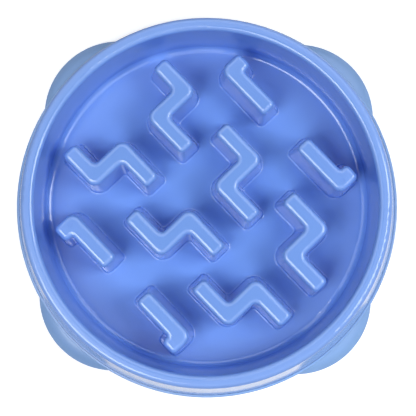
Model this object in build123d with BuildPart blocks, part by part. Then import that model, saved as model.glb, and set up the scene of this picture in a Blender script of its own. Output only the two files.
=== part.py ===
from build123d import *
from math import radians, tan
import os

# Slow feeder bowl: a moulded bowl with a raised maze in it, snapped into a base ring
# that stands on four push-in rubber feet.
# Millimetres. The origin is on the table under the bowl's axis, +Z is up, the rows of
# ridges run along X and the four foot lobes lie on the X and Y axes.

# Bowl wall, lip and pan
bowl_height = 50.0
lip_diameter = 200.6
lip_width = 6.6
lip_depth = 6.0
lip_outer_round = 2.7
lip_inner_round = 2.5
wall = 2.4
hollow_round = 0.7
inner_draft = 2.0
floor_height = 10.0
floor_thickness = 2.5
floor_fillet = 3.5

# Ridges of the maze, measured across their tops
ridge_height = 28.0
ridge_draft = 5.0
ridge_wall = 2.3
bar_width = 9.5
ridge_round = 2.8
ridge_foot_fillet = 0.9
elbow_outer_radius = 5.3
elbow_inner_radius = 2.6
bar_end_radius = 3.0
core_corner_radius = 0.8

# Zigzag ridges: two rows, mirrored across the X axis, placed by shares of the flat floor's radius
zigzag_pitch_share = 0.6006
zigzag_row_share = 0.2713
zigzag_count = 3
zigzag_gap = 4.6
end_arm_trim = 3.4
centre_channel = 17.5

# Hook ridges: one in each quarter, a long arm along X and a stub that turns outwards
hook_x_share = 0.4855
hook_y_share = 0.6896
hook_gap = 25.7
hook_stub_reach = 4.9
hook_elbow_radius = 1.4

# Round gate marks on top of two hooks
gate_mark_diameter = 2.6
gate_mark_groove = 0.5
gate_mark_depth = 0.2
gate_mark_offset = 1.4

# Seam between bowl and base ring: a tongue under the bowl's wall in a groove of the ring
wall_flare = 8.6
ledge_height = 7.4
seat_height = 3.9
seam_clearance = 0.1
snap_bead_radius = 0.5
snap_height = 1.4
snap_clearance = 0.12

# Base ring and its foot lobes
ledge_width = 1.4
ring_width = 15.5
ring_clearance = 1.2
ring_edge_round = 0.7
locating_rim_wall = 1.6
locating_rim_height = 2.8
lobe_radius = 43.4
lobe_reach = 8.1
lobe_height = 6.4
lobe_slope = 10.5
lobe_side = 0.7
lobe_chamfer = 0.4

# Rubber feet
foot_names = ["front_right", "back_right", "back_left", "front_left"]
foot_diameter = 10.0
foot_inset = 6.4
foot_recess = 0.9
foot_edge_chamfer = 0.6
foot_clearance = 0.1
stem_diameter = 4.0
stem_length = 1.7
stem_chamfer = 0.5
stem_clearance = 0.08
stem_end_gap = 0.2

# Worked-out places
lip_radius = lip_diameter / 2
mouth_radius = lip_radius - lip_width
floor_radius = mouth_radius - (bowl_height - floor_height) * tan(radians(inner_draft))
floor_bottom = floor_height - floor_thickness
flat_radius = floor_radius - floor_fillet
skirt_radius = lip_radius + wall_flare
flare = wall_flare / (bowl_height - ledge_height)
hollow_top = bowl_height - lip_depth
tongue_inner_radius = skirt_radius - wall
snap_z = seat_height + snap_height
ridge_spread = ridge_height * tan(radians(ridge_draft))
ridge_top = floor_height + ridge_height
ridge_pad_margin = ridge_spread + 2 * ridge_foot_fillet
core_height = floor_thickness + ridge_height - ridge_wall
core_spread = core_height * tan(radians(ridge_draft))
core_margin = (floor_thickness + ridge_height) * tan(radians(ridge_draft)) - ridge_wall
zigzag_pitch = flat_radius * zigzag_pitch_share
zigzag_row_offset = flat_radius * zigzag_row_share
zigzag_length = zigzag_pitch - zigzag_gap
zigzag_arm_spacing = 2 * zigzag_row_offset - centre_channel - bar_width
hook_elbow_x = flat_radius * hook_x_share
hook_elbow_y = flat_radius * hook_y_share
hook_arm = hook_elbow_x - hook_gap / 2
groove_outer_radius = skirt_radius + seam_clearance
locating_rim_radius = tongue_inner_radius - seam_clearance
ring_radius = groove_outer_radius + ledge_width
ring_inner_radius = ring_radius - ring_width
rim_middle_radius = groove_outer_radius + ledge_width / 2
lobe_offset = ring_radius + lobe_reach - lobe_radius
lobe_rise = lobe_height - ring_clearance
foot_count = len(foot_names)
foot_height = ring_clearance + foot_recess
foot_circle_radius = lobe_offset + lobe_radius - foot_inset


def inner_wall_radius(z):
    return mouth_radius - (bowl_height - z) * tan(radians(inner_draft))


def outer_wall_radius(z):
    return lip_radius + (bowl_height - z) * flare


# Plan outlines of the ridges, grown by a margin on every side (a negative margin shrinks them)
def zigzag_outline(margin, end_radius, inner, left_trim=0):
    half = bar_width / 2 + margin
    reach = zigzag_length / 2 + margin
    arm = zigzag_arm_spacing / 2
    outer = elbow_outer_radius + margin
    corners = [
        (left_trim - reach, arm - half),
        (-half, arm - half),
        (-half, -arm - half),
        (reach, -arm - half),
        (reach, half - arm),
        (half, half - arm),
        (half, arm + half),
        (left_trim - reach, arm + half),
    ]
    rounds = [end_radius, inner, outer, end_radius, end_radius, inner, outer, end_radius]
    with BuildSketch() as outline:
        with BuildLine():
            FilletPolyline(corners, radius=rounds, close=True)
        make_face()
    return outline.sketch


# The first zigzag of a row has one arm shortened to clear the round wall
def end_zigzag_outline(margin, end_radius, inner):
    return zigzag_outline(margin, end_radius, inner, end_arm_trim)


def hook_outline(margin, end_radius, inner_radius):
    half = bar_width / 2 + margin
    arm = hook_arm + margin
    stub = half + hook_stub_reach
    outer = elbow_outer_radius + margin
    inner = min(inner_radius, hook_elbow_radius)
    corners = [
        (-arm, -half),
        (half, -half),
        (half, stub),
        (-half, stub),
        (-half, half),
        (-arm, half),
    ]
    rounds = [end_radius, outer, end_radius, end_radius, inner, end_radius]
    with BuildSketch() as outline:
        with BuildLine():
            FilletPolyline(corners, radius=rounds, close=True)
        make_face()
    return outline.sketch


# A ridge with its rounded top, standing on a pad that lies within the pan's floor
def ridge(outline, pad_centre, pad_size):
    foot_outline = outline(ridge_spread, bar_end_radius, elbow_inner_radius)
    top_outline = outline(0, bar_end_radius, elbow_inner_radius)
    with BuildPart() as solid:
        with BuildSketch(Plane.XY.offset(floor_height)):
            with Locations(pad_centre):
                Rectangle(*pad_size)
        extrude(amount=-floor_thickness / 4)
        with BuildSketch(Plane.XY.offset(floor_height)):
            add(foot_outline)
        with BuildSketch(Plane.XY.offset(ridge_top)):
            add(top_outline)
        loft(ruled=True)
        fillet(solid.faces().sort_by(Axis.Z)[-1].edges(), ridge_round)
        pad_top = solid.faces().filter_by(Axis.Z).group_by(Axis.Z)[1][0]
        fillet(pad_top.inner_wires()[0].edges(), ridge_foot_fillet)
    return solid.part


# The hollow that a ridge has underneath, one wall smaller than the ridge
def ridge_core(outline):
    mouth_outline = outline(core_margin, core_corner_radius + core_spread, core_corner_radius)
    roof_outline = outline(core_margin - core_spread, core_corner_radius, core_corner_radius + core_spread)
    with BuildPart() as solid:
        with BuildSketch(Plane.XY.offset(floor_bottom)):
            add(mouth_outline)
        with BuildSketch(Plane.XY.offset(ridge_top - ridge_wall)):
            add(roof_outline)
        loft(ruled=True)
    return solid.part


zigzag_pad = (
    zigzag_length + 2 * ridge_pad_margin,
    zigzag_arm_spacing + bar_width + 2 * ridge_pad_margin,
)
hook_pad = (
    hook_arm + bar_width / 2 + 2 * ridge_pad_margin,
    hook_stub_reach + bar_width + 2 * ridge_pad_margin,
)
hook_pad_centre = ((bar_width / 2 - hook_arm) / 2, hook_stub_reach / 2)
zigzag = ridge(zigzag_outline, (0, 0), zigzag_pad)
zigzag_core = ridge_core(zigzag_outline)
end_zigzag = ridge(end_zigzag_outline, (0, 0), zigzag_pad)
end_zigzag_core = ridge_core(end_zigzag_outline)
hook = ridge(hook_outline, hook_pad_centre, hook_pad)
hook_core = ridge_core(hook_outline)


# Copies of the zigzags and of the hook at every place that they have in the maze
def maze(end_zigzag_shape, zigzag_shape, hook_shape):
    right_hook = hook_shape.moved(Location((hook_elbow_x, hook_elbow_y, 0)))
    half_maze = [right_hook, right_hook.mirror(Plane.YZ)]
    row = [end_zigzag_shape] + [zigzag_shape] * (zigzag_count - 1)
    for shape, place in zip(row, GridLocations(zigzag_pitch, 0, zigzag_count, 1)):
        half_maze.append(shape.moved(Location((0, zigzag_row_offset, 0)) * place))
    return half_maze + [shape.mirror(Plane.XZ) for shape in half_maze]


# Bowl: pan, lip and flared outer wall in one moulding, with hollow ridges
with BuildPart() as feeder_bowl:
    with BuildSketch(Plane.XZ):
        with BuildLine():
            bowl_corners = [
                (0, floor_height),
                (floor_radius, floor_height),
                (mouth_radius, bowl_height),
                (lip_radius, bowl_height),
                (skirt_radius, ledge_height),
                (skirt_radius, seat_height),
                (tongue_inner_radius, seat_height),
                (tongue_inner_radius, ledge_height),
                (outer_wall_radius(hollow_top) - wall, hollow_top),
                (inner_wall_radius(hollow_top) + wall, hollow_top),
                (inner_wall_radius(floor_bottom) + wall, floor_bottom),
                (0, floor_bottom),
            ]
            bowl_rounds = [
                0,
                floor_fillet,
                lip_inner_round,
                lip_outer_round,
                0,
                0,
                0,
                0,
                hollow_round,
                hollow_round,
                floor_fillet + wall,
                0,
            ]
            FilletPolyline(bowl_corners, radius=bowl_rounds, close=True)
        make_face()
        with Locations((tongue_inner_radius, snap_z)):
            Circle(snap_bead_radius)
    revolve(axis=Axis.Z)
    add(maze(end_zigzag, zigzag, hook))
    add(maze(end_zigzag_core, zigzag_core, hook_core), mode=Mode.SUBTRACT)
    gate_mark_y = hook_elbow_y + gate_mark_offset
    with BuildSketch(Plane.XY.offset(ridge_top)):
        with Locations((hook_elbow_x, gate_mark_y), (-hook_elbow_x, -gate_mark_y)):
            Circle(gate_mark_diameter / 2)
            Circle(gate_mark_diameter / 2 - gate_mark_groove, mode=Mode.SUBTRACT)
    extrude(amount=-gate_mark_depth, mode=Mode.SUBTRACT)

# One foot lobe of the base ring, a low dome cut to start inside the ring's rim
with BuildPart() as lobe:
    with BuildSketch(Plane.XZ):
        with BuildLine():
            dome_start = (lobe_radius - lobe_slope, lobe_height)
            side_top = (lobe_radius, ring_clearance + lobe_side)
            TangentArc(dome_start, side_top, tangent=(1, 0))
            Polyline(
                side_top,
                (lobe_radius, ring_clearance + lobe_chamfer),
                (lobe_radius - lobe_chamfer, ring_clearance),
                (0, ring_clearance),
                (0, lobe_height),
                dome_start,
            )
        make_face()
    revolve(axis=Axis.Z)
    with BuildSketch(Plane.XY.offset(ring_clearance)):
        with Locations((-lobe_offset, 0)):
            Circle(rim_middle_radius)
    extrude(amount=lobe_rise, mode=Mode.SUBTRACT)

# Base ring: the ledge round the bowl, the groove that holds the bowl's tongue, and the lobes
with BuildPart() as base_ring:
    with BuildSketch(Plane.XZ):
        with BuildLine():
            rim_top = seat_height + locating_rim_height
            ring_corners = [
                (ring_inner_radius, ring_clearance),
                (ring_inner_radius, seat_height),
                (locating_rim_radius - locating_rim_wall, seat_height),
                (locating_rim_radius - locating_rim_wall, rim_top),
                (locating_rim_radius, rim_top),
                (locating_rim_radius, seat_height),
                (groove_outer_radius, seat_height),
                (groove_outer_radius, ledge_height),
                (ring_radius, ledge_height),
                (ring_radius, ring_clearance),
            ]
            ring_rounds = [0, ring_edge_round, 0, 0, 0, 0, 0, 0, ring_edge_round, 0]
            FilletPolyline(ring_corners, radius=ring_rounds, close=True)
        make_face()
        with Locations((tongue_inner_radius, snap_z)):
            Circle(snap_bead_radius + snap_clearance, mode=Mode.SUBTRACT)
    revolve(axis=Axis.Z)
    with PolarLocations(lobe_offset, foot_count):
        add(lobe.part)
    with Locations(Plane((0, 0, ring_clearance), z_dir=(0, 0, -1))):
        with PolarLocations(foot_circle_radius, foot_count):
            CounterBoreHole(
                radius=stem_diameter / 2 + stem_clearance,
                counter_bore_radius=foot_diameter / 2 + foot_clearance,
                counter_bore_depth=foot_recess,
                depth=foot_recess + stem_length + stem_end_gap,
            )

os.makedirs("parts", exist_ok=True)
feeder_bowl.part.label = "feeder_bowl"
export_step(feeder_bowl.part, "parts/feeder_bowl.step")
base_ring.part.label = "base_ring"
export_step(base_ring.part, "parts/base_ring.step")

# Rubber feet: a round pad with a stem that is pushed into the lobe from below
for name, place in zip(foot_names, PolarLocations(foot_circle_radius, foot_count)):
    with BuildPart() as foot:
        with BuildSketch(Plane(place)):
            Circle(foot_diameter / 2)
        extrude(amount=foot_height)
        chamfer(foot.edges().group_by(Axis.Z)[0], foot_edge_chamfer)
        with BuildSketch(Plane(place).offset(foot_height)):
            Circle(stem_diameter / 2)
        extrude(amount=stem_length)
        chamfer(foot.edges().group_by(Axis.Z)[-1], stem_chamfer)
    foot.part.label = "foot_" + name
    export_step(foot.part, "parts/foot_" + name + ".step")
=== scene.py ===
import bpy
from math import cos, radians
from mathutils import Matrix, Vector


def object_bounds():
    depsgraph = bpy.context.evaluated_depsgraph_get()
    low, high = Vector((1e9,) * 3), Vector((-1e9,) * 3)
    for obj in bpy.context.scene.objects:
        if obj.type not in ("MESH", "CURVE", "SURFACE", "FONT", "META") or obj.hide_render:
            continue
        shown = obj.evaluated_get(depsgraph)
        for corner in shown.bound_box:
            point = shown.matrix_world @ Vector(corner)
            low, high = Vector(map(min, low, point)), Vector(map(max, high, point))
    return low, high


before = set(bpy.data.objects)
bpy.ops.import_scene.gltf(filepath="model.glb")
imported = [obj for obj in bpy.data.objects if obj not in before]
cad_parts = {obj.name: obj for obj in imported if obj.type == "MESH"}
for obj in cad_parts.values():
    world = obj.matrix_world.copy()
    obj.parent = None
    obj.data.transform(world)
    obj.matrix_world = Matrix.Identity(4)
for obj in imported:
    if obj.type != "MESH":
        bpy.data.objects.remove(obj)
cadLow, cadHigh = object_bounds()
print("frame loaded:", ", ".join(sorted(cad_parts)))


def mm(length):
    return length / 1000


# sRGB hex to the linear colour that shaders take
def hexLinear(code):
    channels = [int(code[i:i + 2], 16) / 255 for i in (1, 3, 5)]
    linear = [c / 12.92 if c <= 0.04045 else ((c + 0.055) / 1.055) ** 2.4 for c in channels]
    return (*linear, 1.0)


# adds one node: settings go to its properties, values to its sockets, links from other sockets
def addNode(tree, kind, settings=None, values=None, links=None):
    node = tree.nodes.new(kind)
    for name, value in (settings or {}).items():
        setattr(node, name, value)
    for name, value in (values or {}).items():
        node.inputs[name].default_value = value
    for name, source in (links or {}).items():
        tree.links.new(source, node.inputs[name])
    return node


# a Mix node's colour sockets share their names with its number sockets, so they go by place
mixFirst, mixSecond, mixResult = 6, 7, 2


def newMaterial(name):
    material = bpy.data.materials.new(name)
    material.use_nodes = True
    material.node_tree.nodes.clear()
    return material, material.node_tree


# unit vector by azimuth, degrees from +X towards +Y, and height angle
def heading(azimuth, elevation):
    swing = Matrix.Rotation(radians(azimuth), 3, "Z")
    lift = Matrix.Rotation(-radians(elevation), 3, "Y")
    return swing @ lift @ Vector((1, 0, 0))


def dress(nodeName, material):
    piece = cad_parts[nodeName]
    piece.data.materials.clear()
    piece.data.materials.append(material)


# the blue of both plastics, which drifts softly where the pigment is denser
def pigmentColour(tree, place, look):
    pigment = addNode(
        tree, "ShaderNodeTexNoise",
        values={"Scale": 1 / mm(look["pigmentPatch"]), "Detail": look["pigmentDetail"]},
        links={"Vector": place},
    )
    colour = addNode(
        tree, "ShaderNodeMix", {"data_type": "RGBA"},
        {mixFirst: hexLinear(look["blue"]), mixSecond: hexLinear(look["deepBlue"])},
        {"Factor": pigment.outputs["Fac"]},
    )
    return colour.outputs[mixResult]


# bowl: polypropylene from a polished mould, pigmented blue, a clean gloss with faint waviness
bowlPlastic = {
    "blue": "#739AE0",
    "deepBlue": "#6B93DC",
    "pigmentPatch": 34,      # mm, soft drift of the pigment
    "pigmentDetail": 3.0,    # finer layers of each pattern
    "waveSpacing": 5.5,      # mm, waviness of the moulded skin
    "waveHeight": 0.006,     # mm
    "waveDetail": 1.0,
    "hazeSpacing": 9,        # mm, rubbed and clear patches of the gloss
    "hazeDetail": 4.0,
    "glossRough": 0.09,
    "hazeRough": 0.15,
    "ior": 1.49,
}


def makeBowlPlastic(look):
    material, tree = newMaterial("polypropylene polished blue")
    place = addNode(tree, "ShaderNodeTexCoord").outputs["Object"]
    colour = pigmentColour(tree, place, look)
    haze = addNode(
        tree, "ShaderNodeTexNoise",
        values={"Scale": 1 / mm(look["hazeSpacing"]), "Detail": look["hazeDetail"]},
        links={"Vector": place},
    )
    roughness = addNode(
        tree, "ShaderNodeMapRange",
        values={"To Min": look["glossRough"], "To Max": look["hazeRough"]},
        links={"Value": haze.outputs["Fac"]},
    )
    wave = addNode(
        tree, "ShaderNodeTexNoise",
        values={"Scale": 1 / mm(look["waveSpacing"]), "Detail": look["waveDetail"]},
        links={"Vector": place},
    )
    bump = addNode(
        tree, "ShaderNodeBump",
        values={"Strength": 1.0, "Distance": mm(look["waveHeight"])},
        links={"Height": wave.outputs["Fac"]},
    )
    shader = addNode(
        tree, "ShaderNodeBsdfPrincipled",
        values={"IOR": look["ior"]},
        links={
            "Base Color": colour,
            "Roughness": roughness.outputs["Result"],
            "Normal": bump.outputs["Normal"],
        },
    )
    addNode(tree, "ShaderNodeOutputMaterial", links={"Surface": shader.outputs["BSDF"]})
    return material


# base ring: polypropylene from a spark-eroded mould, greener blue, satin with a fine grain
ringPlastic = {
    "blue": "#80A6D8",
    "deepBlue": "#789ED2",
    "pigmentPatch": 30,      # mm
    "pigmentDetail": 3.0,
    "grainSpacing": 0.9,     # mm, drawn coarser than the real 0.2 mm grain so that it shows
    "grainHeight": 0.012,    # mm
    "grainDetail": 2.0,
    "rough": 0.27,
    "ior": 1.49,
}


def makeRingPlastic(look):
    material, tree = newMaterial("polypropylene satin blue")
    place = addNode(tree, "ShaderNodeTexCoord").outputs["Object"]
    colour = pigmentColour(tree, place, look)
    grain = addNode(
        tree, "ShaderNodeTexNoise",
        values={"Scale": 1 / mm(look["grainSpacing"]), "Detail": look["grainDetail"]},
        links={"Vector": place},
    )
    bump = addNode(
        tree, "ShaderNodeBump",
        values={"Strength": 1.0, "Distance": mm(look["grainHeight"])},
        links={"Height": grain.outputs["Fac"]},
    )
    shader = addNode(
        tree, "ShaderNodeBsdfPrincipled",
        values={"IOR": look["ior"], "Roughness": look["rough"]},
        links={"Base Color": colour, "Normal": bump.outputs["Normal"]},
    )
    addNode(tree, "ShaderNodeOutputMaterial", links={"Surface": shader.outputs["BSDF"]})
    return material


# feet: grey thermoplastic rubber, matt and dusty with a pebbled skin
footRubber = {
    "grey": "#5A626E",
    "dust": "#7C828C",
    "pebbleSpacing": 0.7,    # mm
    "pebbleHeight": 0.03,    # mm
    "rough": 0.78,
    "ior": 1.5,
}


def makeFootRubber(look):
    material, tree = newMaterial("thermoplastic rubber grey")
    place = addNode(tree, "ShaderNodeTexCoord").outputs["Object"]
    pebble = addNode(
        tree, "ShaderNodeTexVoronoi",
        values={"Scale": 1 / mm(look["pebbleSpacing"])},
        links={"Vector": place},
    )
    colour = addNode(
        tree, "ShaderNodeMix", {"data_type": "RGBA"},
        {mixFirst: hexLinear(look["grey"]), mixSecond: hexLinear(look["dust"])},
        {"Factor": pebble.outputs["Distance"]},
    )
    bump = addNode(
        tree, "ShaderNodeBump", {"invert": True},
        {"Strength": 1.0, "Distance": mm(look["pebbleHeight"])},
        {"Height": pebble.outputs["Distance"]},
    )
    shader = addNode(
        tree, "ShaderNodeBsdfPrincipled",
        values={"IOR": look["ior"], "Roughness": look["rough"]},
        links={"Base Color": colour.outputs[mixResult], "Normal": bump.outputs["Normal"]},
    )
    addNode(tree, "ShaderNodeOutputMaterial", links={"Surface": shader.outputs["BSDF"]})
    return material


dress("feeder_bowl", makeBowlPlastic(bowlPlastic))
dress("base_ring", makeRingPlastic(ringPlastic))
rubber = makeFootRubber(footRubber)
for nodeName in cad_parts:
    if nodeName.startswith("foot_"):
        dress(nodeName, rubber)
print("materials set on", len(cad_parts), "nodes")

# white studio floor: lit like paper and shadowed near the bowl, running into the white room
# further out
studioFloor = {
    "width": 3.0,            # m
    "paper": "#F2F2F2",
    "nearGlow": 0.42,        # added for the camera alone, so that lit paper comes out white
    "farGlow": 1.0,
    "nearRadius": 0.16,      # m from the bowl's axis
    "farRadius": 0.7,
    "mirroredGlow": 0.08,    # added in reflections
}


def makeFloor(look):
    bpy.ops.object.select_all(action="DESELECT")
    bpy.ops.mesh.primitive_plane_add(size=look["width"], location=(0, 0, cadLow.z))
    floor = bpy.context.active_object
    floor.name = "studioFloor"
    material, tree = newMaterial("white paper sweep")
    paper = addNode(tree, "ShaderNodeBsdfDiffuse", values={"Color": hexLinear(look["paper"])})
    path = addNode(tree, "ShaderNodeLightPath")
    place = addNode(tree, "ShaderNodeTexCoord").outputs["Object"]
    away = addNode(tree, "ShaderNodeVectorMath", {"operation": "LENGTH"}, links={0: place})
    spread = addNode(
        tree, "ShaderNodeMapRange",
        values={
            "From Min": look["nearRadius"],
            "From Max": look["farRadius"],
            "To Min": look["nearGlow"],
            "To Max": look["farGlow"],
        },
        links={"Value": away.outputs["Value"]},
    )
    seen = addNode(
        tree, "ShaderNodeMath", {"operation": "MULTIPLY"},
        links={0: path.outputs["Is Camera Ray"], 1: spread.outputs["Result"]},
    )
    level = addNode(
        tree, "ShaderNodeMath", {"operation": "MULTIPLY_ADD"},
        {1: look["mirroredGlow"]},
        {0: path.outputs["Is Glossy Ray"], 2: seen.outputs["Value"]},
    )
    glow = addNode(tree, "ShaderNodeEmission", links={"Strength": level.outputs["Value"]})
    mixed = addNode(
        tree, "ShaderNodeAddShader",
        links={0: paper.outputs["BSDF"], 1: glow.outputs["Emission"]},
    )
    addNode(tree, "ShaderNodeOutputMaterial", links={"Surface": mixed.outputs["Shader"]})
    floor.data.materials.append(material)


makeFloor(studioFloor)
print("floor laid,", studioFloor["width"], "m wide")

# studio: a pale room, white where the camera sees it; in reflections the walls are white too,
# under a brighter scrim overhead with a dim opening for the camera
studioRoom = {
    "paint": "#FFFFFF",
    "fill": 0.11,            # level of the light that the room gives
    "seen": 1.0,             # level for the camera
    "walls": 1.0,            # levels in reflections
    "scrim": 2.3,
    "opening": 0.1,
    "openingAzimuth": 136,
    "openingElevation": 86.6,
    "dimAngle": 6.5,         # degrees from the opening's middle
    "whiteAngle": 10.5,
    "scrimAngle": 50,
    "wallAngle": 72,
}


def makeRoom(look):
    world = bpy.data.worlds.new("studioRoom")
    bpy.context.scene.world = world
    world.use_nodes = True
    tree = world.node_tree
    tree.nodes.clear()
    path = addNode(tree, "ShaderNodeLightPath")
    towards = addNode(tree, "ShaderNodeTexCoord").outputs["Generated"]
    nearness = addNode(
        tree, "ShaderNodeVectorMath", {"operation": "DOT_PRODUCT"},
        {1: heading(look["openingAzimuth"], look["openingElevation"])},
        {0: towards},
    )
    scrim = addNode(
        tree, "ShaderNodeMapRange",
        values={
            "From Min": cos(radians(look["wallAngle"])),
            "From Max": cos(radians(look["scrimAngle"])),
            "To Min": look["walls"],
            "To Max": look["scrim"],
        },
        links={"Value": nearness.outputs["Value"]},
    )
    mirrored = addNode(
        tree, "ShaderNodeMapRange",
        values={
            "From Min": cos(radians(look["whiteAngle"])),
            "From Max": cos(radians(look["dimAngle"])),
            "To Max": look["opening"],
        },
        links={"Value": nearness.outputs["Value"], "To Min": scrim.outputs["Result"]},
    )
    unseen = addNode(
        tree, "ShaderNodeMapRange",
        values={"To Min": look["fill"]},
        links={"Value": path.outputs["Is Glossy Ray"], "To Max": mirrored.outputs["Result"]},
    )
    level = addNode(
        tree, "ShaderNodeMapRange",
        values={"To Max": look["seen"]},
        links={"Value": path.outputs["Is Camera Ray"], "To Min": unseen.outputs["Result"]},
    )
    room = addNode(
        tree, "ShaderNodeBackground",
        values={"Color": hexLinear(look["paint"])},
        links={"Strength": level.outputs["Result"]},
    )
    addNode(tree, "ShaderNodeOutputWorld", links={"Surface": room.outputs["Background"]})


makeRoom(studioRoom)
print("room painted", studioRoom["paint"])

# soft boxes round the bowl: azimuth and elevation in degrees, distance and size in metres
softBoxes = {
    "frontSoftBox": {"azimuth": -90, "elevation": 62, "distance": 0.9, "size": 0.42, "watts": 4.9},
    "sideSoftBox": {"azimuth": 45, "elevation": 50, "distance": 0.9, "size": 0.42, "watts": 4.8},
    "backSoftBox": {"azimuth": 110, "elevation": 45, "distance": 1.0, "size": 1.0, "watts": 1.75},
}
lampTarget = Vector((0, 0, cadHigh.z / 2))
for name, box in softBoxes.items():
    bpy.ops.object.select_all(action="DESELECT")
    reach = box["distance"] * heading(box["azimuth"], box["elevation"])
    bpy.ops.object.light_add(type="AREA", location=lampTarget + reach)
    lamp = bpy.context.active_object
    lamp.name = name
    lamp.rotation_euler = reach.to_track_quat("Z", "Y").to_euler()
    lamp.data.size = box["size"]
    lamp.data.energy = box["watts"]
print("studio lit by", ", ".join(softBoxes))

# camera: nearly straight above, a little to the front, turned so that the lobes lie on the
# picture's diagonals
overheadCamera = {
    "place": (0.02805, -0.02051, 0.619),     # m
    "aim": (0.00328, -0.00174, 0.05),
    "turn": 46.15,           # degrees from the picture's right to the +X axis, clockwise
    "lens": 91.4,            # mm
}


def makeCamera(view):
    back = (Vector(view["place"]) - Vector(view["aim"])).normalized()
    pictureUp = Matrix.Rotation(radians(view["turn"]), 3, "Z") @ Vector((0, 1, 0))
    right = pictureUp.cross(back).normalized()
    up = back.cross(right)
    bpy.ops.object.camera_add(location=view["place"])
    camera = bpy.context.active_object
    camera.rotation_euler = Matrix((right, up, back)).transposed().to_euler()
    camera.data.lens = view["lens"]
    bpy.context.scene.camera = camera


makeCamera(overheadCamera)
bpy.context.scene.view_settings.view_transform = "Standard"
print("camera set,", overheadCamera["lens"], "mm lens")
